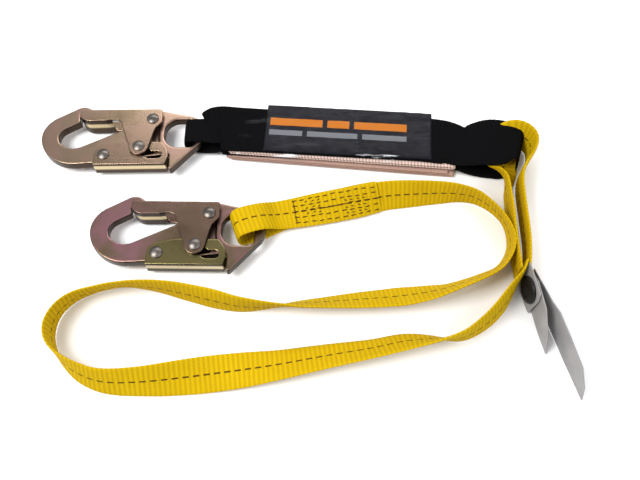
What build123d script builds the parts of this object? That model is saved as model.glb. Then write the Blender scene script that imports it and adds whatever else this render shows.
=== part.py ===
"""Shock-absorbing lanyard laid out on a flat surface, in millimetres, +Z up.

A pack of folded tear webbing carries a double-locking snap hook on one webbing loop and
a flat strap on the other. The strap runs in a long loop to a second, identical hook. The
origin is at the surface, under the middle of the hooks and the pack.
"""

import math
import os

from build123d import *

os.makedirs("parts", exist_ok=True)

# ---- driving dimensions -------------------------------------------------------------------
STRAP_WIDTH = 25.4  # one inch webbing
STRAP_THICK = 2.3
PACK_WEBBING_WIDTH = 44.5  # one and three quarter inch webbing
PACK_LENGTH = 187.0

HOOK_MID_HEIGHT = 11.05  # middle plane of a hook above the surface
BODY_THICK = 8.0
LEVER_INNER = 4.3  # half gap of the lock lever's channel
LEVER_SHEET = 2.0
GATE_INNER = 6.6  # half gap of the gate's channel
GATE_SHEET = 2.2
PIN_RADIUS = 3.0
HEAD_RADIUS = 4.8
HEAD_HEIGHT = 2.1
RUNNING_FIT = 0.05  # radial clearance of a pivot
HEAD_GAP = 0.15
PIN_SLOT_CLEARANCE = 0.45

# Hook points, from the gate's pivot: +x towards the eye, +y away from the lever.
LOCK_PIN = (-9.0, -26.9)
LEVER_PIVOT = (-37.2, -33.0)
GATE_OPEN_DEG = 17.0
LEVER_PER_GATE = 0.5  # lever turn for each degree of gate turn

# Where the hooks' gate pivots lie, and how far each hook is turned.
HOOKS = {
    "pack_hook": ((-107.2, 59.5), 1.0),
    "strap_hook": ((-54.3, -29.5), -0.75),
}

PACK_CENTRE = (47.0, 47.9)
PACK_TURN_DEG = -3.9
PLY = 2.0  # one thickness of the pack's webbing
FILM = 0.25
COVER = 1.0

# The strap's layout is written from its own datum, this far from the origin.
LAYOUT = (29.5, -42.5)


def hook_plane(place, turn_deg):
    """Middle plane of a hook, with its origin on the gate's pivot."""
    turn = math.radians(turn_deg)
    return Plane(
        origin=(place[0], place[1], HOOK_MID_HEIGHT),
        x_dir=(math.cos(turn), math.sin(turn), 0),
        z_dir=(0, 0, 1),
    )


def save(part, label):
    """Name a finished piece and write it to its own file."""
    part.label = label
    export_step(part, f"parts/{label}.step")


def turned(point, centre, degrees):
    """A flat point turned about a centre."""
    angle = math.radians(degrees)
    dx = point[0] - centre[0]
    dy = point[1] - centre[1]
    return (
        centre[0] + dx * math.cos(angle) - dy * math.sin(angle),
        centre[1] + dx * math.sin(angle) + dy * math.cos(angle),
    )


# ---- snap hook ----------------------------------------------------------------------------
def hook_body(base, label):
    """Forged plate: the hook bend with its nose, the pivot ear, the webbing eye and the tail."""
    with BuildPart() as body:
        with BuildSketch(base.offset(-BODY_THICK / 2)):
            with BuildLine():
                Line((-61.3, 10.7), (-61.3, 4.0))
                Line((-61.3, 4.0), (-60.4, 1.2))
                Line((-60.4, 1.2), (-72.5, -5.9))
                ThreePointArc((-72.5, -5.9), (-76.2, -12.8), (-70.6, -22.4))
                ThreePointArc((-70.6, -22.4), (-63.6, -24.9), (-56.5, -23.4))
                Line((-56.5, -23.4), (-27.0, -8.6))
                Line((-27.0, -8.6), (-13.0, 2.4))
                ThreePointArc((-13.0, 2.4), (-7.6, 8.2), (0.0, 10.6))
                Line((0.0, 10.6), (8.0, 11.2))
                Line((8.0, 11.2), (31.0, 5.6))
                ThreePointArc((31.0, 5.6), (42.2, -6.5), (39.3, -20.8))
                Line((39.3, -20.8), (18.0, -45.4))
                ThreePointArc((18.0, -45.4), (16.2, -46.2), (15.0, -44.6))
                Line((15.0, -44.6), (15.0, -34.0))
                ThreePointArc((15.0, -34.0), (14.3, -32.4), (12.6, -32.0))
                Line((12.6, -32.0), (-40.0, -38.9))
                Line((-40.0, -38.9), (-60.0, -40.3))
                ThreePointArc((-60.0, -40.3), (-81.4, -32.2), (-90.2, -15.0))
                ThreePointArc((-90.2, -15.0), (-88.4, -3.6), (-80.4, 5.6))
                Line((-80.4, 5.6), (-65.4, 14.6))
                ThreePointArc((-65.4, 14.6), (-59.3, 16.7), (-53.6, 14.9))
                Line((-53.6, 14.9), (-49.6, 11.6))
                Line((-49.6, 11.6), (-50.4, 10.7))
                Line((-50.4, 10.7), (-61.3, 10.7))
            make_face()
        extrude(amount=BODY_THICK)
        # webbing eye, with a broken rim
        with BuildSketch(base.offset(-BODY_THICK / 2)):
            with BuildLine():
                Line((21.3, -24.9), (29.5, -24.9))
                ThreePointArc((29.5, -24.9), (33.04, -23.44), (34.5, -19.9))
                Line((34.5, -19.9), (34.5, -2.5))
                ThreePointArc((34.5, -2.5), (33.04, 1.04), (29.5, 2.5))
                Line((29.5, 2.5), (21.3, 2.5))
                ThreePointArc((21.3, 2.5), (13.1, -0.9), (9.7, -9.1))
                Line((9.7, -9.1), (9.7, -13.3))
                ThreePointArc((9.7, -13.3), (13.1, -21.5), (21.3, -24.9))
            make_face()
        extrude(amount=BODY_THICK, mode=Mode.SUBTRACT)
        rim = body.edges(Select.LAST).filter_by(Axis.Z, reverse=True)
        chamfer(rim, 0.7)
        # holes for the two pivots
        with BuildSketch(base.offset(-BODY_THICK / 2)):
            Circle(PIN_RADIUS)
            with Locations(LEVER_PIVOT):
                Circle(PIN_RADIUS)
        extrude(amount=BODY_THICK, mode=Mode.SUBTRACT)
        # arc slot that the lock pin sweeps as the gate opens
        reach = PIN_RADIUS + PIN_SLOT_CLEARANCE
        with BuildSketch(base.offset(-BODY_THICK / 2)):
            with BuildLine():
                start = turned(LOCK_PIN, (0, 0), -1.0)
                middle = turned(LOCK_PIN, (0, 0), GATE_OPEN_DEG / 2)
                end = turned(LOCK_PIN, (0, 0), GATE_OPEN_DEG + 1.0)
                sweep_arc = ThreePointArc(start, middle, end)
            SlotArc(sweep_arc, 2 * reach)
        extrude(amount=BODY_THICK, mode=Mode.SUBTRACT)
        # round pockets for the two coil springs, and the grooves their legs swing in
        with BuildSketch(base.offset(BODY_THICK / 2)):
            Circle(5.7)
        extrude(amount=-2.9, mode=Mode.SUBTRACT)
        with BuildSketch(base.offset(BODY_THICK / 2)):
            with BuildLine():
                Polyline((-3, -4), (-6.5, -25.0), (6.5, -25.0), (5.0, -3.0), close=True)
            make_face()
        extrude(amount=-1.9, mode=Mode.SUBTRACT)
        with BuildSketch(base.offset(BODY_THICK / 2)):
            with Locations(LEVER_PIVOT):
                Circle(5.0)
        extrude(amount=-2.9, mode=Mode.SUBTRACT)
        with BuildSketch(base.offset(BODY_THICK / 2)):
            with BuildLine():
                Polyline((-34, -30.6), (-18.0, -32.5), (-18.0, -37.8), (-34, -38.1), close=True)
            make_face()
        extrude(amount=-1.9, mode=Mode.SUBTRACT)
    save(body.part, label)


def gate(base, label):
    """Folded sheet channel: the arm that closes the hook, and two ears down to the lock pin."""
    outer = GATE_INNER + GATE_SHEET
    with BuildPart() as channel:
        for side in (-outer, GATE_INNER):
            with BuildSketch(base.offset(side)):
                with BuildLine():
                    Line((-59.7, 9.9), (5.4, 9.9))
                    ThreePointArc((5.4, 9.9), (7.0, 9.2), (7.6, 7.6))
                    Line((7.6, 7.6), (7.6, -3.4))
                    Line((7.6, -3.4), (2.9, -9.0))
                    Line((2.9, -9.0), (1.0, -15.5))
                    Line((1.0, -15.5), (-1.3, -27.4))
                    ThreePointArc((-1.3, -27.4), (-9.6, -34.7), (-16.9, -26.8))
                    Line((-16.9, -26.8), (-24.6, -6.0))
                    ThreePointArc((-24.6, -6.0), (-26.4, -1.9), (-30.4, -0.2))
                    Line((-30.4, -0.2), (-51.5, -0.2))
                    ThreePointArc((-51.5, -0.2), (-57.2, 1.6), (-60.4, 5.4))
                    Line((-60.4, 5.4), (-59.7, 9.9))
                make_face()
                Circle(PIN_RADIUS + RUNNING_FIT, mode=Mode.SUBTRACT)
                with Locations(LOCK_PIN):
                    Circle(PIN_RADIUS, mode=Mode.SUBTRACT)
            extrude(amount=GATE_SHEET)
        # web of the channel, on the inside of the hook
        with BuildSketch(base.offset(-outer)):
            with BuildLine():
                Line((-34.0, 1.6), (-51.3, 1.6))
                ThreePointArc((-51.3, 1.6), (-55.5, 2.9), (-58.2, 5.6))
                Line((-58.2, 5.6), (-60.2, 4.4))
                ThreePointArc((-60.2, 4.4), (-56.8, 0.5), (-51.5, -1.3))
                Line((-51.5, -1.3), (-38.0, -1.0))
                Line((-38.0, -1.0), (-34.0, -0.2))
                Line((-34.0, -0.2), (-34.0, 1.6))
            make_face()
        extrude(amount=2 * outer)
    save(channel.part, label)


def lock_lever(base, label):
    """Folded sheet channel over the hook's spine, slotted for the lock pin."""
    outer = LEVER_INNER + LEVER_SHEET
    bottom = -42.6
    pin_open = turned(turned(LOCK_PIN, (0, 0), GATE_OPEN_DEG), LEVER_PIVOT, -GATE_OPEN_DEG * LEVER_PER_GATE)
    pin_half = turned(
        turned(LOCK_PIN, (0, 0), GATE_OPEN_DEG / 2), LEVER_PIVOT, -GATE_OPEN_DEG * LEVER_PER_GATE / 2
    )
    slot_end = (5.8, pin_open[1])
    slot_width = 2 * (PIN_RADIUS + PIN_SLOT_CLEARANCE)
    with BuildPart() as lever:
        for side in (-outer, LEVER_INNER):
            with BuildSketch(base.offset(side)):
                with BuildLine():
                    Line((-44.6, bottom), (-44.6, -33.2))
                    ThreePointArc((-44.6, -33.2), (-42.6, -27.6), (-37.6, -24.6))
                    ThreePointArc((-37.6, -24.6), (-27.0, -22.0), (-16.0, -21.0))
                    Line((-16.0, -21.0), (8.4, -21.4))
                    ThreePointArc((8.4, -21.4), (13.2, -28.4), (14.4, -36.8))
                    Line((14.4, -36.8), (12.6, bottom))
                    Line((12.6, bottom), (-44.6, bottom))
                make_face()
                with Locations(LEVER_PIVOT):
                    Circle(PIN_RADIUS + RUNNING_FIT, mode=Mode.SUBTRACT)
                # slot: a slanted lead from the locked place, then a straight leg
                for a, b in ((LOCK_PIN, pin_half), (pin_half, pin_open), (pin_open, slot_end)):
                    mid = ((a[0] + b[0]) / 2, (a[1] + b[1]) / 2)
                    SlotCenterPoint(mid, b, slot_width, mode=Mode.SUBTRACT)
            extrude(amount=LEVER_SHEET)
        with BuildSketch(base.offset(-outer)):
            with BuildLine():
                Polyline(
                    (-44.6, bottom),
                    (12.6, bottom),
                    (13.2, bottom + LEVER_SHEET),
                    (-44.6, bottom + LEVER_SHEET),
                    close=True,
                )
            make_face()
        extrude(amount=2 * outer)
    save(lever.part, label)


def domed_rivet(base, place, half_grip, label):
    """A rivet with a domed head on each side of the stack that it holds."""
    foot = half_grip
    rim = half_grip + 0.6
    top = half_grip + HEAD_HEIGHT
    crown = (HEAD_RADIUS**2 + (top - rim) ** 2) / (2 * (top - rim))
    half_angle = math.asin(HEAD_RADIUS / crown) / 2
    mid_out = crown * math.sin(half_angle)
    mid_up = top - crown * (1 - math.cos(half_angle))
    centre = base.from_local_coords(Vector(place[0], place[1], 0))
    side = Plane(origin=centre, x_dir=base.x_dir, z_dir=-base.y_dir)
    with BuildPart() as rivet:
        with BuildSketch(side):
            with BuildLine():
                Line((0, -top), (0, top))
                ThreePointArc((0, top), (mid_out, mid_up), (HEAD_RADIUS, rim))
                Line((HEAD_RADIUS, rim), (HEAD_RADIUS, foot))
                Line((HEAD_RADIUS, foot), (PIN_RADIUS, foot))
                Line((PIN_RADIUS, foot), (PIN_RADIUS, -foot))
                Line((PIN_RADIUS, -foot), (HEAD_RADIUS, -foot))
                Line((HEAD_RADIUS, -foot), (HEAD_RADIUS, -rim))
                ThreePointArc((HEAD_RADIUS, -rim), (mid_out, -mid_up), (0, -top))
            make_face()
        revolve(axis=Axis(centre, base.z_dir))
    save(rivet.part, label)


def torsion_spring(base, place, coil_radius, wire, turns, leg_to, label):
    """Round-wire coil about a pivot, with one leg that reaches along the moving piece."""
    floor = BODY_THICK / 2 - 2.9 + wire / 2 + 0.15
    centre = base.from_local_coords(Vector(place[0], place[1], floor))
    pitch = wire * 1.12
    with BuildPart() as spring:
        with BuildLine():
            coil = Helix(pitch=pitch, height=pitch * turns, radius=coil_radius, center=centre, direction=base.z_dir)
        with BuildSketch(Plane(origin=coil @ 0, z_dir=coil % 0)):
            Circle(wire / 2)
        sweep(is_frenet=True)
        leg_height = BODY_THICK / 2 - 1.9 + wire / 2 + 0.15
        tip = base.from_local_coords(Vector(leg_to[0], leg_to[1], leg_height))
        angle = math.atan2(leg_to[1] - place[1], leg_to[0] - place[0])
        root = base.from_local_coords(
            Vector(
                place[0] + coil_radius * math.cos(angle),
                place[1] + coil_radius * math.sin(angle),
                leg_height,
            )
        )
        with BuildLine():
            leg = Line(root, tip)
        with BuildSketch(Plane(origin=leg @ 0, z_dir=leg % 0)):
            Circle(wire / 2)
        sweep()
    save(spring.part, label)


for hook_name, (hook_place, hook_turn) in HOOKS.items():
    hook_base = hook_plane(hook_place, hook_turn)
    hook_body(hook_base, f"{hook_name}_body")
    gate(hook_base, f"{hook_name}_gate")
    lock_lever(hook_base, f"{hook_name}_lock_lever")
    gate_grip = GATE_INNER + GATE_SHEET
    domed_rivet(hook_base, (0, 0), gate_grip + HEAD_GAP, f"{hook_name}_gate_rivet")
    domed_rivet(hook_base, LOCK_PIN, gate_grip, f"{hook_name}_lock_pin")
    lever_grip = LEVER_INNER + LEVER_SHEET + HEAD_GAP
    domed_rivet(hook_base, LEVER_PIVOT, lever_grip, f"{hook_name}_lever_rivet")
    torsion_spring(hook_base, (0, 0), 4.4, 1.2, 3, (-2.0, -22.6), f"{hook_name}_gate_spring")
    torsion_spring(hook_base, LEVER_PIVOT, 4.0, 1.0, 1.75, (-20.0, -36.0), f"{hook_name}_lever_spring")


# ---- pack of folded webbing ---------------------------------------------------------------
pack_turn = math.radians(PACK_TURN_DEG)
pack_plan = Plane(
    origin=(PACK_CENTRE[0], PACK_CENTRE[1], 0),
    x_dir=(math.cos(pack_turn), math.sin(pack_turn), 0),
    z_dir=(0, 0, 1),
)
pack_side = Plane(origin=pack_plan.origin, x_dir=pack_plan.x_dir, z_dir=-pack_plan.y_dir)
HALF_WEB = PACK_WEBBING_WIDTH / 2
level = [FILM + PLY / 2 + i * (PLY + 0.1) for i in range(3)]
LEG_LEVEL = level[2] + PLY
UPPER_A = LEG_LEVEL + PLY
UPPER_B = UPPER_A + PLY + 0.1
BACKUP = UPPER_B + PLY
COVER_UNDER = BACKUP + PLY / 2


def slid_side(shift, turn_deg):
    """Side plane of the pack for webbing that has crept out at the front."""
    turn = math.radians(PACK_TURN_DEG + turn_deg)
    middle = pack_plan.from_local_coords(Vector(0, shift, 0))
    return Plane(origin=middle, x_dir=(math.cos(turn), math.sin(turn), 0), z_dir=(math.sin(turn), -math.cos(turn), 0))


def folded(path_points, label, side):
    """Webbing folded on itself, from the level and end of each straight ply."""
    with BuildPart() as web:
        with BuildSketch(side):
            with BuildLine():
                for i in range(0, len(path_points), 2):
                    a = path_points[i]
                    b = path_points[i + 1]
                    Line(a, b)
                    if i + 2 < len(path_points):
                        c = path_points[i + 2]
                        bulge = (c[1] - b[1]) / 2
                        if b[0] < 0:
                            bulge = -bulge
                        ThreePointArc(b, (b[0] + bulge, (b[1] + c[1]) / 2), c)
            trace(line_width=PLY)
        extrude(amount=HALF_WEB, both=True)
    save(web.part, label)


folded(
    [(-87, level[0]), (91, level[0]), (91, level[1]), (-90, level[1]), (-90, level[2]), (87, level[2])],
    "tear_webbing_lower",
    slid_side(-2.4, -1.5),
)
folded([(-88, UPPER_A), (89, UPPER_A), (89, UPPER_B), (-89, UPPER_B)], "tear_webbing_upper", slid_side(-1.2, -1.0))
folded([(-62, BACKUP), (62, BACKUP)], "backup_strap", pack_side)


def cross_section(distance):
    """Plane across the pack, this far along it."""
    return Plane(
        origin=pack_plan.from_local_coords(Vector(distance, 0, 0)),
        x_dir=pack_plan.y_dir,
        z_dir=pack_plan.x_dir,
    )


with BuildPart() as cover:
    top = COVER_UNDER + COVER
    with BuildSketch(cross_section(-62.6)):
        with BuildLine():
            Polyline(
                (-21.0, COVER_UNDER),
                (-21.0, top - 0.6),
                (-20.4, top),
                (25.4, top),
                (26.0, top - 0.6),
                (26.0, 11.2),
                (25.35, 11.2),
                (25.35, COVER_UNDER),
                close=True,
            )
        make_face()
    extrude(amount=136.2)
save(cover.part, "pack_cover")

with BuildPart() as film:
    crown = COVER_UNDER + COVER + FILM
    with BuildSketch(cross_section(-84)):
        with BuildLine():
            Polyline(
                (-29, 0.8),
                (-28.2, 0),
                (25.6, 0),
                (26.4, 0.8),
                (26.4, crown - 0.6),
                (25.8, crown),
                (-23.4, crown),
                (-27.2, 12.9),
                (-29, 7.2),
                close=True,
            )
        make_face()
        with BuildLine():
            Polyline(
                (-28.7, 0.9),
                (-28.1, FILM),
                (25.5, FILM),
                (26.1, 0.9),
                (26.1, crown - 0.7),
                (25.65, crown - FILM),
                (-23.3, crown - FILM),
                (-26.93, 12.8),
                (-28.7, 7.1),
                close=True,
            )
        make_face(mode=Mode.SUBTRACT)
    extrude(amount=172)
save(film.part, "shrink_sleeve")

# Loop that holds the pack's own hook: a ring of webbing round the bar of the hook's eye.
with BuildPart() as hook_loop:
    with BuildSketch(pack_side):
        with BuildLine():
            FilletPolyline((-2, LEG_LEVEL), (-95, LEG_LEVEL), (-105, 3.65), (-119.5, 3.65), radius=5)
            ThreePointArc((-119.5, 3.65), (-126.85, 11.0), (-119.5, 18.35))
            FilletPolyline((-119.5, 18.35), (-105, 18.35), (-95, BACKUP), (-62, BACKUP), radius=5)
        trace(line_width=PLY)
    extrude(amount=30, both=True)
    with BuildSketch(pack_plan):
        with BuildLine():
            Polyline(
                (-130, -18.7),
                (-123, -18.5),
                (-118, -18.8),
                (-109.3, -17.9),
                (-105.5, -21.5),
                (-96, -HALF_WEB),
                (0, -HALF_WEB),
                (0, HALF_WEB),
                (-95, HALF_WEB),
                (-105, 15),
                (-109.3, 5.5),
                (-118, 4.5),
                (-123, 3.4),
                (-130, 2.8),
                close=True,
            )
        make_face()
    extrude(amount=30, mode=Mode.INTERSECT)
save(hook_loop.part, "hook_end_loop")

# Loop that the strap passes through, bent a little sideways at its far end.
RING_LOW = 1.5
RING_HIGH = 15.9
loop_tip = Plane(origin=(163.4 + LAYOUT[0], 75.1 + LAYOUT[1], 0), x_dir=(0.952, -0.305, 0), z_dir=(0, 0, 1))
loop_tip_side = Plane(origin=loop_tip.origin, x_dir=loop_tip.x_dir, z_dir=-loop_tip.y_dir)
with BuildPart() as tip:
    with BuildSketch(loop_tip_side):
        with BuildLine():
            Line((-28, RING_LOW), (-8.2, RING_LOW))
            ThreePointArc((-8.2, RING_LOW), (-1, (RING_LOW + RING_HIGH) / 2), (-8.2, RING_HIGH))
            Line((-8.2, RING_HIGH), (-28, RING_HIGH))
        trace(line_width=PLY)
    extrude(amount=30, both=True)
    with BuildSketch(loop_tip):
        with BuildLine():
            Polyline((1, -13), (1, 13), (-4, 17), (-20, 24), (-28, 24), (-28, -24), (-20, -24), (-4, -17), close=True)
        make_face()
    extrude(amount=30, mode=Mode.INTERSECT)
with BuildPart() as strap_loop:
    with BuildSketch(pack_side):
        with BuildLine():
            FilletPolyline((2, LEG_LEVEL), (95, LEG_LEVEL), (107, RING_LOW), (128, RING_LOW), radius=5)
        trace(line_width=PLY)
        with BuildLine():
            FilletPolyline((128, RING_HIGH), (107, RING_HIGH), (95, BACKUP), (62, BACKUP), radius=5)
        trace(line_width=PLY)
    extrude(amount=30, both=True)
    with BuildSketch(pack_plan):
        with BuildLine():
            Polyline(
                (0, -HALF_WEB),
                (86, -HALF_WEB),
                (97.5, -24.5),
                (115, -27),
                (128, -27.5),
                (128, 23.0),
                (112, 17),
                (98, 11.5),
                (93, 13),
                (86, HALF_WEB),
                (0, HALF_WEB),
                close=True,
            )
        make_face()
    extrude(amount=30, mode=Mode.INTERSECT)
    add(tip.part)
save(strap_loop.part, "strap_end_loop")


# ---- strap --------------------------------------------------------------------------------
def bend_radii(points):
    """Largest even radius for each corner of a route, from its shorter neighbour run."""
    radii = []
    for i in range(1, len(points) - 1):
        a = Vector(*points[i - 1][:2])
        b = Vector(*points[i][:2])
        c = Vector(*points[i + 1][:2])
        turn = (b - a).get_angle(c - b)
        shorter = min((b - a).length, (c - b).length)
        radii.append(0.45 * shorter / math.tan(math.radians(turn) / 2))
    return radii


def between(stations, fraction, index):
    """Height or roll at a fraction of the way along a route."""
    runs = [0.0]
    for a, b in zip(stations, stations[1:]):
        runs.append(runs[-1] + math.dist(a[:2], b[:2]))
    goal = fraction * runs[-1]
    for i in range(1, len(runs)):
        if goal <= runs[i] or i == len(runs) - 1:
            part = (goal - runs[i - 1]) / (runs[i] - runs[i - 1])
            return stations[i - 1][index] + part * (stations[i][index] - stations[i - 1][index])


def ribbon(stations, width, thick, spacing, label):
    """Flat strap along a route of (x, y, height, roll): roll 90 stands it on its edge."""
    shifted = [(x + LAYOUT[0], y + LAYOUT[1], z, roll) for x, y, z, roll in stations]
    radii = bend_radii(shifted)
    print(label, "bend radii in mm:", [round(r, 1) for r in radii])
    with BuildLine() as route:
        path = FilletPolyline(*[point[:2] for point in shifted], radius=radii)
    length = path.length
    count = max(3, round(length / spacing))
    with BuildPart() as strap:
        for i in range(count + 1):
            fraction = i / count
            spot = path @ fraction
            heading = path % fraction
            roll = math.radians(between(shifted, fraction, 3))
            left = Vector(-heading.Y, heading.X, 0)
            across = left * math.cos(roll) + Vector(0, 0, 1) * math.sin(roll)
            spot = Vector(spot.X, spot.Y, between(shifted, fraction, 2))
            with BuildSketch(Plane(origin=spot, x_dir=across, z_dir=heading)):
                Rectangle(width, thick)
        loft(ruled=True)
    wanted = length * width * thick
    print(label, "length", round(length, 1), "volume share", round(strap.part.volume / wanted, 3), strap.part.is_valid)
    save(strap.part, label)


strap_run = [
    (46, 32.4, 11.5, 55),
    (98, 35, 14, 80),
    (123, 31, 14, 98),
    (141, 13, 14, 104),
    (144, -14, 14, 85),
    (128, -34, 13, 65),
    (90, -48, 12, 55),
    (59, -52, 10, 38),
    (-14, -59, 12, 56),
    (-53, -61, 14, 90),
    (-103, -49, 14, 92),
    (-145, -43, 14, 78),
    (-178, -51, 14, 78),
    (-192, -76, 14, 90),
    (-182, -99, 14, 84),
    (-150, -116.5, 13, 62),
    (-108, -114, 11, 42),
    (-65, -107, 5, 10),
    (4, -97, 9, -31),
    (59, -86.5, 11, -46),
    (99, -85.5, 14, -84),
    (125, -69, 14, -98),
    (141, -46, 14, -90),
    (149.3, -34.6, 14, -84),
]
ribbon(strap_run, STRAP_WIDTH, STRAP_THICK, 9, "strap_run")

# Eye that the strap makes through its loop on the pack: out along one ply, back along the other.
eye_out = [
    (150.5, -34, 14, -90),
    (154.4, -8, 14, -91),
    (155.6, 20, 14, -91),
    (156.4, 44, 14, -90),
    (161.5, 57, 14, -88),
    (170, 69, 14, -84),
    (172.5, 82, 13.6, -78),
    (166, 91, 12.6, -66),
    (157.5, 93, 10.6, -45),
    (150.5, 88, 8.3, -15),
    (148, 78, 7.3, 0),
    (146.8, 66, 7.3, 0),
    (147.2, 56, 9, -30),
    (146.6, 44, 13.4, -86),
    (145.8, 14, 14, -91),
    (145.2, -12, 14, -90),
    (146.4, -36, 14, -88),
]
ribbon(eye_out, STRAP_WIDTH, STRAP_THICK, 5, "strap_pack_eye")

# Eye round the second hook's bar, and the two plies sewn flat together behind it.
eye_turn = math.radians(9.7)
eye_plan = Plane(
    origin=(46 + LAYOUT[0], 32.4 + LAYOUT[1], 0), x_dir=(math.cos(eye_turn), math.sin(eye_turn), 0), z_dir=(0, 0, 1)
)
eye_side = Plane(origin=eye_plan.origin, x_dir=eye_plan.x_dir, z_dir=-eye_plan.y_dir)
with BuildPart() as hook_eye:
    with BuildSketch(eye_side):
        with BuildLine():
            FilletPolyline((0, 4.7), (-72, 4.7), (-86, 3.3), (-104, 3.3), radius=6)
            ThreePointArc((-104, 3.3), (-111.6, 10.9), (-104, 18.5))
            FilletPolyline((-104, 18.5), (-86, 18.5), (-72, 7.1), (0, 7.1), radius=6)
        trace(line_width=STRAP_THICK)
    extrude(amount=30, both=True)
    with BuildSketch(eye_plan):
        with BuildLine():
            Polyline(
                (-116, -24.5),
                (-88.8, -24.5),
                (-78, -14),
                (-70, -12.7),
                (0, -12.7),
                (0, 12.7),
                (-72, 12.7),
                (-80, 7.0),
                (-88.8, -4.2),
                (-116, -0.5),
                close=True,
            )
        make_face()
    extrude(amount=30, mode=Mode.INTERSECT)
save(hook_eye.part, "strap_hook_eye")

# Thread of the sewn places: rows of stitches along the strap and tacks across its ends.
with BuildPart() as hook_thread:
    top_ply = 7.1 + STRAP_THICK / 2
    with BuildSketch(eye_plan.offset(top_ply + 0.03)):
        for y in (-9.6, -4.8, 0, 4.8, 9.6):
            for i in range(13):
                with Locations((-66 + i * 5.2, y)):
                    Rectangle(3.6, 1.0)
        for x in (-69.5, -1.6):
            with Locations((x, 0)):
                Rectangle(1.6, 20)
    extrude(amount=0.4)
save(hook_thread.part, "hook_end_stitching")

# ---- warning tag --------------------------------------------------------------------------
LEAF = 0.7


def leaf_plane(x, y, run_x, run_y, lean_deg):
    """Nearly upright plane of one leaf, along the run and leaning back."""
    lean = math.radians(lean_deg)
    run = Vector(run_x, run_y, 0).normalized()
    away = Vector(-run.Y, run.X, 0)
    rise = away * math.sin(lean) + Vector(0, 0, math.cos(lean))
    return Plane(origin=(x + LAYOUT[0], y + LAYOUT[1], 0.3), x_dir=run, z_dir=run.cross(rise))


front_plane = leaf_plane(147.5, -33, 0.17, -0.985, 8)
leaves = {
    "tag_back_leaf": (
        leaf_plane(157, -32, 0.245, -0.97, 3),
        [(0, 2), (0, 15), (29, 21), (40, 25.5), (80, 23), (92, 12), (96.5, 1)],
    ),
    "tag_middle_leaf": (
        leaf_plane(151.5, -36, 0.165, -0.986, 4),
        [(0, 1), (0, 20), (12, 27), (33, 26), (50, 13), (57, 1)],
    ),
    "tag_front_leaf": (front_plane, [(0, 1), (0, 27), (20, 28), (26, 27), (28.5, 20), (28.5, 1)]),
}
for leaf_name, (plane, outline) in leaves.items():
    with BuildPart() as leaf:
        with BuildSketch(plane):
            with BuildLine():
                Polyline(*outline, close=True)
            make_face()
        extrude(amount=LEAF)
    save(leaf.part, leaf_name)

with BuildPart() as snap:
    with BuildSketch(front_plane.offset(LEAF)):
        with Locations((16, 14)):
            Circle(10.4)
    extrude(amount=2.2)
    fillet(snap.faces().sort_by(Axis(front_plane.origin, front_plane.z_dir))[-1].edges(), 0.9)
save(snap.part, "tag_snap_cap")
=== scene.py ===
"""Looks of a shock-absorbing lanyard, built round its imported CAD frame. Metres, +Z up."""

import math
import random

import bmesh
import bpy
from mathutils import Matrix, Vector, noise


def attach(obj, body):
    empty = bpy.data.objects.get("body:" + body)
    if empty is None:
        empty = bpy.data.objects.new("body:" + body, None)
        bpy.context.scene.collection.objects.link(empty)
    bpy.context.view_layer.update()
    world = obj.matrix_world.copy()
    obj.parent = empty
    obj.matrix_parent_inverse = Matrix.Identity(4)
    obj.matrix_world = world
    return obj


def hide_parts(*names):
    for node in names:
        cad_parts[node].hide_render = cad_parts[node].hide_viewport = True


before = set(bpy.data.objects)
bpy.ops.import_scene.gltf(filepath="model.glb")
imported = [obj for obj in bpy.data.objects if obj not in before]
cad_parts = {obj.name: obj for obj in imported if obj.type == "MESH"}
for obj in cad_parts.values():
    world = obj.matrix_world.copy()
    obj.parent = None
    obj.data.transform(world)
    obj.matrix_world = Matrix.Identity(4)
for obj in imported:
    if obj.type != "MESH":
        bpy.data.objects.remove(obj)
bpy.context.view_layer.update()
random.seed(7)

MM = 0.001
LAYOUT = Vector((29.5, -42.5, 0.0))  # the strap's layout datum in the part's frame, mm
PACK_AT = Vector((47.0, 47.9, 0.0))  # middle of the pack in the part's frame, mm
PACK_HEADING = -3.9  # degrees from +X
PACK_TURN = math.radians(PACK_HEADING)
PACK_ACROSS = 90 + PACK_HEADING
STRAP_WIDTH = 25.4
STRAP_THICK = 2.3
PACK_WIDTH = 44.5
PACK_THICK = 2.0
COVER_SHIFT = 2.6  # how far behind the pack's middle line the cover sits, mm
COVER_THICK = 0.6
FILM_THICK = 0.12
LEAF_THICK = 0.5
UV_SPAN = 0.1  # metres of strap in one UV unit
RIBBON_STEP = 0.00075  # length of one mesh step along a strap, metres
HALF_SPOTS = 9  # mesh steps across half a strap's width


# ---- camera and light ---------------------------------------------------------------------
def aim(thing, spot):
    """Turn a camera or a light towards a point."""
    thing.rotation_euler = (Vector(spot) - thing.location).to_track_quat("-Z", "Y").to_euler()


camera_data = bpy.data.cameras.new("camera")
camera_data.lens = 39.4
camera_data.sensor_width = 36
camera = bpy.data.objects.new("camera", camera_data)
bpy.context.collection.objects.link(camera)
focus = LAYOUT * MM
camera.location = focus + Vector((0, -0.255, 0.479))
aim(camera, focus)
bpy.context.scene.camera = camera
bpy.context.scene.view_settings.view_transform = "Standard"


def area_light(name, place, size, power):
    """Soft rectangular lamp aimed near the middle of the part."""
    data = bpy.data.lights.new(name, "AREA")
    data.shape = "RECTANGLE"
    data.size, data.size_y = size
    data.energy = power
    lamp = bpy.data.objects.new(name, data)
    bpy.context.collection.objects.link(lamp)
    lamp.location = place
    aim(lamp, (0.02, 0, 0))


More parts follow.
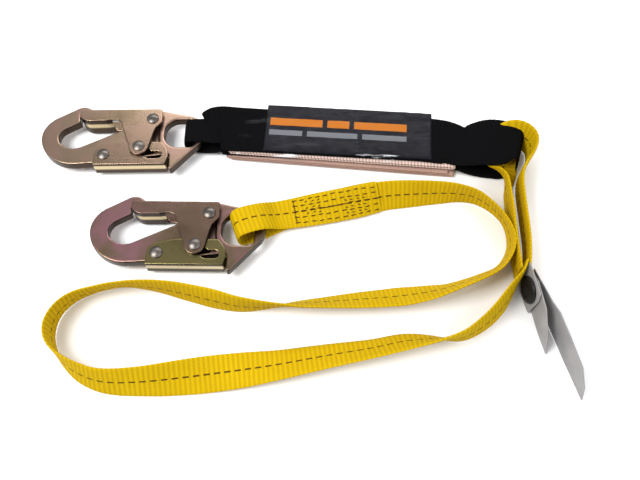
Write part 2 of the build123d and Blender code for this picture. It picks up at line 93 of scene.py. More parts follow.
area_light("key", (-0.55, -0.25, 0.9), (0.5, 0.5), 12.5)
area_light("fill", (0.75, -0.35, 0.7), (0.6, 0.6), 4.5)
area_light("back", (0.05, 0.85, 0.75), (0.9, 0.35), 6.0)
world = bpy.data.worlds.new("studio")
bpy.context.scene.world = world
world.use_nodes = True
backdrop = world.node_tree.nodes["Background"]
backdrop.inputs["Color"].default_value = (0.95, 0.97, 1.0, 1)
backdrop.inputs["Strength"].default_value = 0.62


# ---- materials ----------------------------------------------------------------------------
class Nodes:
    """Short names for building a material's nodes."""

    def __init__(self, name):
        self.material = bpy.data.materials.new(name)
        self.material.use_nodes = True
        self.tree = self.material.node_tree
        self.shader = self.tree.nodes["Principled BSDF"]
        self.coords = self.tree.nodes.new("ShaderNodeTexCoord")

    def put(self, socket, value):
        """Give a socket a number, a colour or another node's output."""
        if isinstance(value, (int, float)):
            socket.default_value = value
        elif isinstance(value, tuple):
            socket.default_value = value if len(socket.default_value) == len(value) else (*value, 1)
        else:
            self.tree.links.new(value, socket)

    def math(self, operation, a, b=0.0, clamp=False):
        node = self.tree.nodes.new("ShaderNodeMath")
        node.operation = operation
        node.use_clamp = clamp
        self.put(node.inputs[0], a)
        self.put(node.inputs[1], b)
        return node.outputs[0]

    def between(self, value, low, high):
        """1 where the value is between two limits, else 0."""
        above = self.math("GREATER_THAN", value, low)
        return self.math("MULTIPLY", above, self.math("LESS_THAN", value, high))

    def split(self, vector):
        node = self.tree.nodes.new("ShaderNodeSeparateXYZ")
        self.put(node.inputs[0], vector)
        return node.outputs

    def noise(self, scale, detail=3.0, vector=None, rough=0.55):
        node = self.tree.nodes.new("ShaderNodeTexNoise")
        self.put(node.inputs["Vector"], vector or self.coords.outputs["Object"])
        node.inputs["Scale"].default_value = scale
        node.inputs["Detail"].default_value = detail
        node.inputs["Roughness"].default_value = rough
        return node.outputs["Fac"]

    def stretch(self, factors):
        """Object coordinates times a factor for each axis."""
        node = self.tree.nodes.new("ShaderNodeVectorMath")
        node.operation = "MULTIPLY"
        self.put(node.inputs[0], self.coords.outputs["Object"])
        node.inputs[1].default_value = factors
        return node.outputs[0]

    def mix(self, factor, a, b):
        node = self.tree.nodes.new("ShaderNodeMix")
        node.data_type = "RGBA"
        self.put(node.inputs[0], factor)
        self.put(node.inputs[6], a)
        self.put(node.inputs[7], b)
        return node.outputs[2]

    def ramp(self, factor, stops):
        node = self.tree.nodes.new("ShaderNodeValToRGB")
        self.put(node.inputs[0], factor)
        ramp = node.color_ramp
        while len(ramp.elements) < len(stops):
            ramp.elements.new(0.5)
        for element, (place, color) in zip(ramp.elements, stops):
            element.position = place
            element.color = (*color, 1)
        return node.outputs[0]

    def bump(self, height, distance, strength=1.0, under=None):
        node = self.tree.nodes.new("ShaderNodeBump")
        node.inputs["Distance"].default_value = distance
        node.inputs["Strength"].default_value = strength
        self.put(node.inputs["Height"], height)
        if under is not None:
            self.put(node.inputs["Normal"], under)
        return node.outputs[0]

    def rounded(self, radius):
        """Normal that rounds the edges by this radius."""
        node = self.tree.nodes.new("ShaderNodeBevel")
        node.samples = 6
        node.inputs[0].default_value = radius
        return node.outputs[0]

    def set(self, **values):
        """Fill the shader's inputs, with _ for each space in a name."""
        for name, value in values.items():
            self.put(self.shader.inputs[name.replace("_", " ")], value)

    def uv(self):
        """Across and along a strap, in metres."""
        parts = self.split(self.coords.outputs["UV"])
        across = self.math("MULTIPLY", self.math("SUBTRACT", parts[0], 0.5), UV_SPAN)
        return across, self.math("MULTIPLY", parts[1], UV_SPAN)

    def stripes(self, value, pitch, shift=0.0):
        """Smooth wave from 0 to 1 with this pitch."""
        phase = self.math("ADD", self.math("MULTIPLY", value, 2 * math.pi / pitch), shift)
        return self.math("ADD", self.math("MULTIPLY", self.math("SINE", phase), 0.5), 0.5)

    def pack_plan(self):
        """Along, across and up the pack, unturned but not moved, in metres."""
        turn = self.tree.nodes.new("ShaderNodeVectorRotate")
        turn.rotation_type = "Z_AXIS"
        self.put(turn.inputs["Vector"], self.coords.outputs["Object"])
        turn.inputs["Center"].default_value = (PACK_AT.x * MM, PACK_AT.y * MM, 0)
        turn.inputs["Angle"].default_value = -PACK_TURN
        return self.split(turn.outputs[0])


def zinc(name, gold, pink, dark, rough, wall_shade_share=0.97, painted_highlight=None):
    """Yellow dichromate zinc plate: a metal with a drifting gold, pink and olive cast.

    Faces that stand upright get painted shade, darker by the given share. Where a highlight colour is
    given, they carry it as a painted highlight in a band of heights, with the painted shade above and
    below.
    """
    m = Nodes(name)
    cast = m.noise(38, 4)
    patch = m.noise(11, 2)
    color = m.ramp(cast, [(0.16, dark), (0.42, gold), (0.6, pink), (0.78, gold)])
    olive = tuple(c * f for c, f in zip(gold, (0.78, 0.88, 0.62)))
    color = m.mix(m.math("MULTIPLY", patch, 0.55, True), color, olive)
    # Painted shade: upright faces, found by their normal, are darkened towards a deep copy of the dark
    # colour.
    facing = m.math("ABSOLUTE", m.split(m.coords.outputs["Normal"])[2])
    wall_shade_mask = m.math("MULTIPLY", m.math("SUBTRACT", 0.9, facing), 3.0, True)
    side = tuple(c * 0.22 for c in dark)
    # Painted highlight: with a highlight colour, a band of heights on the upright faces is painted in it.
    if painted_highlight:
        height = m.math("MULTIPLY", m.split(m.coords.outputs["Object"])[2], 50)
        side = m.ramp(height, [(0.46, side), (0.54, painted_highlight), (0.7, painted_highlight), (0.75, side)])
    color = m.mix(m.math("MULTIPLY", wall_shade_mask, wall_shade_share), color, side)
    scratch = m.noise(60, 3, m.stretch((1.0, 9.0, 9.0)), 0.7)
    grain = m.noise(420, 3)
    normal = m.bump(grain, 0.00012, 0.35)
    normal = m.bump(scratch, 0.00012, 0.25, normal)
    roughness = m.math("ADD", m.math("MULTIPLY", cast, 0.22), rough)
    m.set(Base_Color=color, Metallic=1.0, Roughness=roughness, Normal=normal)
    return m.material


def steel(name, color, rough, edge):
    """Plain worn steel."""
    m = Nodes(name)
    wear = m.noise(160, 4)
    tone = m.ramp(wear, [(0.3, tuple(c * 0.55 for c in color)), (0.6, color)])
    normal = m.bump(m.noise(700, 2), 0.0001, 0.4, m.rounded(edge))
    roughness = m.math("ADD", m.math("MULTIPLY", wear, 0.25), rough)
    m.set(Base_Color=tone, Metallic=1.0, Roughness=roughness, Normal=normal)
    return m.material


def webbing(name, color, mottle_and_dip_shade, tracer=None, comb=None, pitch=0.0034, gloss=0.68, fuzzy=0.03, shine=0.3):
    """Woven strap: cross ribs, fine warp threads and fibre fuzz, with painted shade in the dips between
    them.

    tracer is the colour of a dashed thread along the middle. comb is where the teeth at the two
    edges begin, in metres from the middle, and their colour.
    """
    m = Nodes(name)
    across, along = m.uv()
    ribs = m.stripes(along, pitch)
    warp = m.stripes(across, 0.00115)
    weft = m.stripes(along, pitch / 3, 0.7)
    fuzz = m.noise(1500, 3)
    # The darker colour gives a random mottle here, and painted shade in the weave's dips below.
    tone = m.mix(m.math("MULTIPLY", m.noise(30, 3), 0.55, True), color, mottle_and_dip_shade)
    # Painted shade: darker in the dips between the cross ribs and between the warp threads.
    rib_dip_shade = m.math("MULTIPLY", m.math("SUBTRACT", 1.0, ribs), 0.55)
    warp_dip_shade = m.math("MULTIPLY", m.math("SUBTRACT", 1.0, warp), 0.22)
    dip_shade = m.math("MULTIPLY", m.math("ADD", rib_dip_shade, warp_dip_shade), 0.8, True)
    tone = m.mix(dip_shade, tone, mottle_and_dip_shade)
    fibre = m.math("MULTIPLY", m.math("GREATER_THAN", fuzz, 0.62), 0.25)
    tone = m.mix(fibre, tone, tuple(min(1, c * 1.25) for c in color))
    if tracer:
        near = m.math("LESS_THAN", m.math("ABSOLUTE", across), 0.00062)
        beat = m.math("FRACT", m.math("DIVIDE", along, 0.0072))
        dash = m.math("MULTIPLY", near, m.math("LESS_THAN", beat, 0.62))
        tone = m.mix(m.math("MULTIPLY", dash, 0.93), tone, tracer)
    if comb:
        side = m.math("GREATER_THAN", m.math("ABSOLUTE", across), comb[0])
        teeth = m.math("GREATER_THAN", m.stripes(along, 0.0026), 0.32)
        tone = m.mix(m.math("MULTIPLY", side, teeth), tone, comb[1])
    height = m.math("MULTIPLY", ribs, 0.5)
    for wave, share in ((warp, 0.3), (weft, 0.22), (fuzz, 0.3)):
        height = m.math("ADD", height, m.math("MULTIPLY", wave, share))
    m.set(Base_Color=tone, Roughness=gloss, Normal=m.bump(height, 0.00032, 0.8))
    m.set(Specular_IOR_Level=shine, Sheen_Weight=fuzzy, Sheen_Roughness=0.5)
    return m.material


def thread_material(name, color):
    """Twisted sewing thread."""
    m = Nodes(name)
    twist = m.noise(1800, 2, m.stretch((1.0, 3.0, 1.0)))
    tone = m.mix(twist, tuple(c * 0.5 for c in color), color)
    m.set(Base_Color=tone, Roughness=0.7, Normal=m.bump(twist, 0.0002, 0.6), Specular_IOR_Level=0.1)
    return m.material


def cover_material():
    """Black printed cover with plain bars where the print is."""
    m = Nodes("label_cover")
    x, y, _ = m.pack_plan()
    tone = m.ramp(m.noise(90, 3), [(0.3, (0.004, 0.004, 0.006)), (0.7, (0.01, 0.01, 0.014))])
    orange, grey = (0.42, 0.125, 0.01), (0.15, 0.155, 0.17)
    for color, share, low, high, bars in (
        (orange, 0.9, 2.2, 9.6, ((-59, -16), (-12, 6), (10, 53))),
        (grey, 0.8, -7.6, -2.4, ((-59, -32), (-28, 13), (17, 53))),
    ):
        front, rear = PACK_AT.y + low + COVER_SHIFT, PACK_AT.y + high + COVER_SHIFT
        level = m.between(y, front * MM, rear * MM)
        for left, right in bars:
            inside = m.between(x, (PACK_AT.x + left) * MM, (PACK_AT.x + right) * MM)
            tone = m.mix(m.math("MULTIPLY", m.math("MULTIPLY", inside, level), share), tone, color)
    crease = m.noise(70, 4, m.stretch((0.6, 1.6, 1.0)))
    height = m.math("ADD", crease, m.math("MULTIPLY", m.noise(1300, 2), 0.05))
    m.set(Base_Color=tone, Roughness=0.4, Normal=m.bump(height, 0.0016, 0.45), Specular_IOR_Level=0.1)
    return m.material


def film_material():
    """Clear film that shows only as painted glints, whitish patches along the pack's front edge."""
    m = Nodes("clear_film")
    # Painted glints: whitish noise patches made opaque, strong high on the front side and faint elsewhere.
    painted_glint_noise = m.noise(60, 4, m.stretch((0.35, 2.0, 2.0)))
    patch = m.ramp(painted_glint_noise, [(0.61, (0.0, 0.0, 0.0)), (0.7, (0.6, 0.6, 0.6))])
    _, y, z = m.pack_plan()
    front = m.math("LESS_THAN", y, (PACK_AT.y - 19) * MM)
    high = m.math("GREATER_THAN", z, 0.0125)
    place = m.math("ADD", m.math("MULTIPLY", m.math("MULTIPLY", front, high), 0.95), 0.012)
    alpha = m.math("MULTIPLY", m.split(patch)[0], place)
    m.set(Base_Color=(0.86, 0.87, 0.9), Roughness=0.12, Alpha=alpha, Normal=m.bump(painted_glint_noise, 0.002, 0.7))
    return m.material


def tag_material():
    """Grey label sheet with faint stains."""
    m = Nodes("tag_sheet")
    stain = m.noise(24, 4)
    tone = m.ramp(stain, [(0.3, (0.19, 0.182, 0.18)), (0.65, (0.3, 0.288, 0.286))])
    height = m.math("ADD", stain, m.math("MULTIPLY", m.noise(900, 2), 0.2))
    m.set(Base_Color=tone, Roughness=0.5, Normal=m.bump(height, 0.0006, 0.5))
    return m.material


def snap_material():
    """Black plastic."""
    m = Nodes("snap_plastic")
    wear = m.noise(300, 3)
    tone = m.ramp(wear, [(0.3, (0.004, 0.004, 0.004)), (0.7, (0.01, 0.01, 0.01))])
    m.set(Base_Color=tone, Roughness=0.45, Normal=m.bump(wear, 0.0002, 0.3), Specular_IOR_Level=0.2)
    return m.material


# Upright faces of every zinc part carry painted shade; the sheet parts also carry a painted highlight
# band.
ZINC_ONE = zinc("zinc_gold", (0.31, 0.215, 0.16), (0.36, 0.21, 0.19), (0.18, 0.12, 0.085), 0.2)
ZINC_TWO = zinc("zinc_bronze", (0.2, 0.135, 0.095), (0.28, 0.13, 0.16), (0.12, 0.08, 0.05), 0.2)
SHEET_ONE = zinc(
    "zinc_gold_sheet",
    gold=(0.29, 0.2, 0.145),
    pink=(0.33, 0.21, 0.17),
    dark=(0.2, 0.13, 0.09),
    rough=0.16,
    wall_shade_share=0.95,
    painted_highlight=(0.62, 0.5, 0.3),
)
GATE_TWO = zinc(
    "zinc_bronze_gate",
    gold=(0.19, 0.125, 0.09),
    pink=(0.21, 0.12, 0.11),
    dark=(0.12, 0.08, 0.05),
    rough=0.16,
    wall_shade_share=0.95,
    painted_highlight=(0.6, 0.48, 0.27),
)
LEVER_TWO = zinc(
    "zinc_bronze_lever",
    gold=(0.19, 0.155, 0.07),
    pink=(0.2, 0.15, 0.08),
    dark=(0.12, 0.08, 0.05),
    rough=0.16,
    wall_shade_share=0.95,
    painted_highlight=(0.6, 0.5, 0.32),
)
RIVET = steel("rivet_steel", (0.16, 0.14, 0.125), 0.25, 0.0004)
SPRING = steel("spring_steel", (0.3, 0.3, 0.3), 0.3, 0.0002)
YELLOW = webbing(
    "yellow_webbing",
    color=(0.6, 0.405, 0.005),
    mottle_and_dip_shade=(0.3, 0.17, 0.002),
    tracer=(0.05, 0.026, 0.006),
    fuzzy=0.0,
    shine=0.02,
)
BLACK = webbing(
    "black_webbing",
    color=(0.0028, 0.0027, 0.0031),
    mottle_and_dip_shade=(0.0015, 0.0015, 0.002),
    pitch=0.0024,
    gloss=0.8,
    fuzzy=0.0,
    shine=0.04,
)
TAN = webbing(
    "tan_webbing",
    color=(0.5, 0.33, 0.27),
    mottle_and_dip_shade=(0.26, 0.15, 0.115),
    comb=(0.0192, (0.6, 0.47, 0.42)),
    pitch=0.0022,
)
TAN_PLAIN = webbing("tan_webbing_plain", (0.46, 0.3, 0.245), (0.27, 0.16, 0.125), pitch=0.0018)
THREAD = thread_material("brown_thread", (0.07, 0.03, 0.008))
TAG = tag_material()


# ---- places and meshes --------------------------------------------------------------------
def cross_dir(azimuth, elevation=0.0):
    """Unit vector from an azimuth and an elevation in degrees."""
    a, e = math.radians(azimuth), math.radians(elevation)
    return Vector((math.cos(a) * math.cos(e), math.sin(a) * math.cos(e), math.sin(e)))


def laid(x, y, z):
    """Place in the part's frame of a layout point in mm."""
    return (Vector((x, y, z)) + LAYOUT) * MM


def on_pack(x, y, z):
    """Place in the part's frame of a point along, across and up the pack in mm."""
    c, s = math.cos(PACK_TURN), math.sin(PACK_TURN)
    return (PACK_AT + Vector((x * c - y * s, x * s + y * c, z))) * MM


def steps(low, high, count):
    """Even values from low to high, one more than count."""
    return [low + (high - low) * i / count for i in range(count + 1)]


def mesh_object(name, mesh, material):
    """Linked object made from a bmesh, which is freed."""
    data = bpy.data.meshes.new(name)
    mesh.to_mesh(data)
    mesh.free()
    data.materials.append(material)
    piece = bpy.data.objects.new(name, data)
    bpy.context.collection.objects.link(piece)
    return piece


def join_rings(mesh, rings):
    """Smooth faces between closed rings of vertices, and a cap at each end."""
    for a, b in zip(rings, rings[1:]):
        for q in range(len(a)):
            r = (q + 1) % len(a)
            mesh.faces.new((a[q], a[r], b[r], b[q])).smooth = True
    mesh.faces.new(rings[0])
    mesh.faces.new(rings[-1])


def skin(name, rows, thick, material):
    """Sheet from rows of points, with a thickness below it."""
    mesh = bmesh.new()
    grid = [[mesh.verts.new(p) for p in row] for row in rows]
    for a, b in zip(grid, grid[1:]):
        for i in range(len(a) - 1):
            mesh.faces.new((a[i], b[i], b[i + 1], a[i + 1])).smooth = True
    piece = mesh_object(name, mesh, material)
    thicken = piece.modifiers.new("thickness", "SOLIDIFY")
    thicken.thickness = thick
    thicken.offset = -1
    return piece


def finish_piece(piece, node, body="lanyard"):
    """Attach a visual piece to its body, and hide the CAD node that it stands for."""
    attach(piece, body)
    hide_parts(node)


# ---- ribbons ------------------------------------------------------------------------------
def curve_points(name, points):
    """Points of the smooth spline that a route's points control."""
    data = bpy.data.curves.new(name + "_line", "CURVE")
    data.dimensions = "3D"
    data.resolution_u = 24
    spline = data.splines.new("NURBS")
    spline.points.add(len(points) - 1)
    for knot, point in zip(spline.points, points):
        knot.co = (*point, 1)
    spline.order_u = 3
    spline.use_endpoint_u = True
    holder = bpy.data.objects.new(name + "_line", data)
    bpy.context.collection.objects.link(holder)
    mesh = bpy.data.meshes.new_from_object(holder)
    line = [v.co.copy() for v in mesh.vertices]
    bpy.data.objects.remove(holder)
    bpy.data.meshes.remove(mesh)
    return line


def even(line, step):
    """The same line with its points evenly apart, and the distance of each."""
    runs = [0.0]
    for a, b in zip(line, line[1:]):
        runs.append(runs[-1] + (b - a).length)
    count = max(8, round(runs[-1] / step))
    reach = steps(0.0, runs[-1], count)
    spaced, j = [], 0
    for goal in reach:
        while j < len(runs) - 2 and runs[j + 1] < goal:
            j += 1
        part = (goal - runs[j]) / max(1e-9, runs[j + 1] - runs[j])
        spaced.append(line[j].lerp(line[j + 1], min(1, part)))
    return spaced, reach


def smooth(values, times):
    """Values averaged with their neighbours this many times, with the ends kept."""
    for _ in range(times):
        inner = [(a + b * 2 + c) / 4 for a, b, c in zip(values, values[1:], values[2:])]
        values = [values[0], *inner, values[-1]]
    return values


def blended(stations, spaced):
    """Cross direction and width at every point of a line, from those at its stations."""
    marks, low = [], 0
    window = int(0.12 * len(spaced)) + 60
    for i, (place, _, _) in enumerate(stations):
        if i == len(stations) - 1:
            low = len(spaced) - 1
        elif i > 0:
            near = range(low, min(len(spaced), low + window))
            low = min(near, key=lambda k: (spaced[k] - place).length)
        marks.append(low)
    across, width, i = [], [], 0
    for k in range(len(spaced)):
        while i < len(marks) - 2 and marks[i + 1] <= k:
            i += 1
        part = (k - marks[i]) / max(1, marks[i + 1] - marks[i])
        part = min(1, max(0, part))
        across.append(stations[i][1].lerp(stations[i + 1][1], part))
        width.append(stations[i][2] + part * (stations[i + 1][2] - stations[i][2]))
    return smooth(across, 60), smooth(width, 40)


class Ribbon:
    """Woven strap along stations of place, cross direction and width, with real ribs."""

    def __init__(self, name, stations, thick, material, rib=0.00012, pitch=0.0034, cup=0.0):
        self.thick = thick
        self.cup = cup
        self.line = curve_points(name, [place for place, _, _ in stations])
        spaced, self.reach = even(self.line, RIBBON_STEP)
        self.length = self.reach[-1]
        self.step = self.length / (len(spaced) - 1)
        across, width = blended(stations, spaced)
        self.frames = []
        for k, place in enumerate(spaced):
            ahead = spaced[min(k + 1, len(spaced) - 1)] - spaced[max(k - 1, 0)]
            ahead.normalize()
            side = (across[k] - ahead * across[k].dot(ahead)).normalized()
            self.frames.append((place, ahead, side, ahead.cross(side), width[k]))
        self.object = self.woven(name, material, rib, pitch)

    def crown(self, u):
        """Half of the thickness at u, which runs from -1 to 1 across the strap."""
        return self.thick / 2 * (1 - abs(u) ** 7) ** 0.5

    def bend(self, u):
        """Lift of a cupped strap's section at u."""
        return self.cup * (u * u - 0.33)

    def woven(self, name, material, rib, pitch):
        """Mesh of the strap, with its width and length as UVs."""
        mesh = bmesh.new()
        uv = mesh.loops.layers.uv.new("UVMap")
        spots = [math.sin(math.pi / 2 * t) for t in steps(-1, 1, 2 * HALF_SPOTS)]
        ring = [(u, 1) for u in spots] + [(u, -1) for u in reversed(spots[1:-1])]
        rows = []
        for (place, _, side, up, wide), reach in zip(self.frames, self.reach):
            swell = abs(math.sin(math.pi * reach / pitch)) - 0.5
            row = []
            for u, face in ring:
                lift = (self.crown(u) + rib * swell * (1 - abs(u) ** 4)) * face + self.bend(u)
                reach_out = u * (1 + 0.012 * swell) * wide / 2
                row.append(mesh.verts.new(place + side * reach_out + up * lift))
            rows.append(row)
        for k in range(len(rows) - 1):
            for i in range(len(ring)):
                j = (i + 1) % len(ring)
                corners = ((i, k), (j, k), (j, k + 1), (i, k + 1))
                face = mesh.faces.new([rows[row][spot] for spot, row in corners])
                face.smooth = True
                for loop, (spot, row) in zip(face.loops, corners):
                    wide = self.frames[row][4]
                    loop[uv].uv = (ring[spot][0] * wide / 2 / UV_SPAN + 0.5, self.reach[row] / UV_SPAN)
        mesh.faces.new(rows[0])
        mesh.faces.new(rows[-1])
        bmesh.ops.recalc_face_normals(mesh, faces=mesh.faces)
        return mesh_object(name, mesh, material)

    def at(self, distance, u, lift=0.0):
        """Point, along, side and outward directions on the upper face at a distance and u."""
        k = min(len(self.frames) - 1, max(0, round(distance / self.step)))
        place, ahead, side, up, wide = self.frames[k]
        turned = -1 if up.z < 0 else 1
        height = (self.crown(u) + lift) * turned + self.bend(u)
        return place + side * (u * wide / 2) + up * height, ahead, side, up * turned


def rolled(route):
    """Stations from layout points x, y, height and roll, each across its own heading."""
    stations = []
    for i, (x, y, z, roll) in enumerate(route):
        before, after = route[max(0, i - 1)], route[min(len(route) - 1, i + 1)]
        heading = Vector((after[0] - before[0], after[1] - before[1], 0)).normalized()
        left = Vector((-heading.y, heading.x, 0))
        r = math.radians(roll)
        across = left * math.cos(r) + Vector((0, 0, math.sin(r)))
        stations.append((laid(x, y, z), across, STRAP_WIDTH * MM))
    return stations


# ---- yellow strap and its eyes ------------------------------------------------------------
# layout x, y and height, then roll about the strap's own run
strap_route = [
    (30, 29.3, 9.6, 35),
    (46, 32.4, 12.2, 55),
    (67, 34, 13, 63),
    (98, 35, 14, 80),
    (112, 34, 14, 92),
    (123, 30.5, 14, 98),
    (133, 22, 14, 104),
    (141, 11.5, 14, 104),
    (144.5, -3, 14, 93),
    (143.5, -14, 14, 84),
    (138, -25, 13, 78),
    (127.5, -34, 13, 66),
    (96, -46, 12, 57),
    (81, -49, 10, 44),
    (59, -52, 9, 35),
    (29, -55, 10, 41),
    (-14, -59, 12, 58),
    (-53, -61.5, 14, 90),
    (-76, -56, 14, 101),
    (-103, -49, 14, 95),
    (-122, -45, 14, 84),
    (-145, -43.5, 14, 72),
    (-164, -47.5, 13, 73),
    (-178, -53, 13, 78),
    (-188, -64, 14, 83),
    (-191.5, -78, 14, 91),
    (-188, -90, 14, 93),
    (-180, -100, 14, 84),
    (-166, -110, 13, 71),
    (-148, -116.5, 13, 65),
    (-120, -115.5, 12, 54),
    (-96, -112, 9, 36),
    (-65, -107, 5, 10),
    (-30, -103, 7, -18),
    (4, -97, 9, -31),
    (38, -92, 10.5, -42),
    (59, -87, 11, -44),
    (78, -86, 13, -58),
    (98, -85, 14, -86),
    (110, -79, 14, -97),
    (122, -70, 14, -103),
    (133, -58, 14, -106),
    (141, -46, 14, -98),
    (148, -36, 14, -88),
    (149.8, -29, 14, -84),
]
strap_run = Ribbon("strap_run_cloth", rolled(strap_route), STRAP_THICK * MM, YELLOW, cup=0.0006)
finish_piece(strap_run.object, "strap_run")

pack_eye_route = [
    (151.5, -34, 14, -90),
    (155.4, -17, 14, -91),
    (155.8, 20, 14, -91),
    (156.4, 44, 14, -90),
    (161.5, 57, 14, -88),
    (170, 69, 14, -84),
    (172.5, 82, 13.6, -78),
    (166, 91, 12.6, -66),
    (157.5, 93, 10.6, -45),
    (150.5, 88, 8.3, -15),
    (148, 78, 7.3, 0),
    (146.8, 66, 7.3, 0),
    (147.2, 56, 9, -30),
    (146.6, 44, 13.4, -86),
    (145.8, 14, 14, -91),
    (145, -16, 14, -90),
    (145.8, -36, 14, -88),
]
pack_eye = Ribbon("strap_pack_eye_cloth", rolled(pack_eye_route), STRAP_THICK * MM, YELLOW)
finish_piece(pack_eye.object, "strap_pack_eye")

# layout x, y and height, then azimuth and elevation across the strap, then width
eye_stations = [
    (46.2, 31.4, 12.4, 99.7, 55, 25.4),
    (24, 27.9, 9.4, 99.7, 30, 25.4),
    (-8, 22.8, 6.1, 100, 12, 25.4),
    (-27, 19.2, 6.4, 101, 4, 25.2),
    (-34.5, 16.8, 8.6, 103, 0, 24.6),
    (-41, 13.0, 15.2, 105, 0, 23.4),
    (-47, 10.2, 18.9, 107, 0, 23.2),
    (-56, 7.2, 19.8, 109, 0, 23.6),
    (-65, 3.7, 18.6, 109, 0, 23.2),
    (-65, 3.2, 3.4, 109, 0, 22.4),
    (-56, 7, 2.4, 109, 0, 23),
    (-45, 11.4, 2.4, 107, 0, 23.6),
    (-34, 18.2, 2.0, 103, 1, 24.6),
    (-27, 21.2, 2.4, 101, 4, 25.2),
    (-8, 24.9, 3.8, 100, 12, 25.4),
    (24, 29.1, 7.3, 99.7, 30, 25.4),
    (45.8, 33.4, 11.0, 99.7, 55, 25.4),
]
hook_eye = Ribbon(
    "strap_hook_eye_cloth",
    [(laid(x, y, z), cross_dir(azimuth, tilt), w * MM) for x, y, z, azimuth, tilt, w in eye_stations],
    STRAP_THICK * MM,
    YELLOW,
)
finish_piece(hook_eye.object, "strap_hook_eye")


# ---- thread of the sewn places ------------------------------------------------------------
THREAD_PROFILE = ((-1, 0.25), (-0.8, 0.8), (-0.35, 1.0), (0.35, 1.0), (0.8, 0.8), (1, 0.25))
THREAD_RISE = 0.0002  # how far a stitch stands off the cloth, metres
THREAD_SIDES = 6


def stitches(name, ribbon, rows, material):
    """Raised thread marks on a strap's face.

    Each row is its start and end along the strap, the gap and length of its stitches, u across,
    the turn of a stitch and the thread's thickness.
    """
    mesh = bmesh.new()
    for start, stop, gap, long, u, turn, thick in rows:
        distance = start
        while distance < stop:
            place, ahead, side, up = ribbon.at(distance, u + random.uniform(-0.03, 0.03), THREAD_RISE)
            t = math.radians(turn + random.uniform(-7, 7))
            along = ahead * math.cos(t) + side * math.sin(t)
            beside = side * math.cos(t) - ahead * math.sin(t)
            rings = []
            for f, share in THREAD_PROFILE:
                centre = place + along * (f * long / 2) - up * (THREAD_RISE * f * f)
                ring = []
                for q in range(THREAD_SIDES):
                    a = 2 * math.pi * q / THREAD_SIDES
                    around = beside * math.cos(a) + up * math.sin(a)
                    ring.append(mesh.verts.new(centre + around * thick * share))
                rings.append(ring)
            join_rings(mesh, rings)
            distance += gap
    bmesh.ops.recalc_face_normals(mesh, faces=mesh.faces)
    return mesh_object(name, mesh, material)


THICK_THREAD = 0.00042
FINE_THREAD = 0.00036
thread_rows = []
# long rows down the eye, a bar across its end, and slanted rows between them
for u in (-0.74, -0.38, 0.02, 0.4, 0.76):
    thread_rows.append((0.004, 0.072, 0.0062, 0.0042, u, 0, THICK_THREAD))
for u in range(-7, 8, 2):
    thread_rows.append((0.0665, 0.0675, 0.004, 0.0026, u / 10, 64, FINE_THREAD))
for u in (-0.55, -0.2, 0.2):
    thread_rows.append((0.012, 0.03, 0.0047, 0.0026, u, 18, FINE_THREAD))
    thread_rows.append((0.047, 0.062, 0.0051, 0.0024, u + 0.38, -24, FINE_THREAD))
hook_thread = stitches("hook_end_thread", hook_eye, thread_rows, THREAD)
finish_piece(hook_thread, "hook_end_stitching")


# ---- pack webbing and loops ---------------------------------------------------------------
def pack_ribbon(name, points, material, node, slot, **weave):
    """Ribbon from pack points x, y, height, width and turn of its cross direction."""
    stations = [(on_pack(x, y, z), cross_dir(PACK_ACROSS + turn), w * MM) for x, y, z, w, turn in points]
    ribbon = Ribbon(name, stations, PACK_THICK * MM, material, **weave)
    finish_piece(ribbon.object, node)


def straight(points, shift=0.0, turn=0.0, width=PACK_WIDTH):
    """Pack points from x and height, along a line that is shifted and turned a little."""
    return [(x, shift + x * math.tan(math.radians(turn)), z, width, turn) for x, z in points]


TEAR_WEAVE = {"pitch": 0.0022, "rib": 0.00006}
tear_lower_folds = [
    (-88, 1.3),
    (80, 1.3),
    (93, 1.25),
    (93, 3.35),
    (80, 3.35),
    (-80, 3.35),
    (-92, 3.35),
    (-92, 5.45),
    (-80, 5.45),
    (88, 5.45),
]
tear_upper_folds = [
    (-89, 9.45),
    (78, 9.45),
    (86, 8.9),
    (92.5, 9.2),
    (93, 11.4),
    (87, 12.0),
    (78, 11.55),
    (-90, 11.55),
]
backup_line = [(-62, 13.55), (0, 13.5), (62, 13.55)]
hook_loop_points = [
    (-30, 0, 7.45, 44, 0),
    (-86, 0, 7.45, 44, 0),
    (-95, 0, 7.3, 44, 0),
    (-103, -1.5, 5.6, 42, 1),
    (-109.5, -5.5, 3.9, 28, 3),
    (-119, -7.2, 3.6, 23.5, 4.9),
    (-127, -7.9, 3.65, 22, 4.9),
    (-127, -7.9, 18.35, 22, 4.9),
    (-119, -7.2, 18.5, 23, 4.9),
    (-112.5, -6.7, 18.4, 22.5, 3.5),
    (-109, -6.3, 18.4, 23, 3.5),
    (-106.5, -5.5, 18.2, 26, 2),
    (-103, -2.2, 17.3, 41, 1),
    (-97, -1, 15.2, 45, 0),
    (-86, 0, 13.55, 44.5, 0),
    (-62, 0, 13.55, 44, 0),
]
strap_loop_points = [
    (30, 0, 7.45, 44, 0),
    (84, 0, 7.45, 44, 0),
    (94, -5, 7.4, 38, 0),
    (103, -6, 3.6, 38, 0),
    (113, -4.5, 1.6, 44, -2),
    (126, -2.4, 1.5, 49, -5),
    (138, -3.2, 1.5, 45, -10),
    (145.8, -5.1, 1.5, 33, -13.9),
    (145.8, -2.6, 16.1, 29, -13.9),
    (138, 0, 16.2, 40, -10),
    (126, 0.2, 16.0, 46, -5),
    (113, -3.0, 16.2, 43, -2),
    (103, -6, 15.4, 38, 0),
    (94, -5, 13.7, 38, 0),
    (85, -1, 13.55, 44, 0),
    (62, 0, 13.55, 44, 0),
]
lower_points = straight(tear_lower_folds, -2.4, -1.5)
upper_points = straight(tear_upper_folds, -1.2, -1.0)
backup_points = straight(backup_line, width=44.0)
pack_ribbon("tear_lower_cloth", lower_points, TAN_PLAIN, "tear_webbing_lower", "tan_webbing", **TEAR_WEAVE)
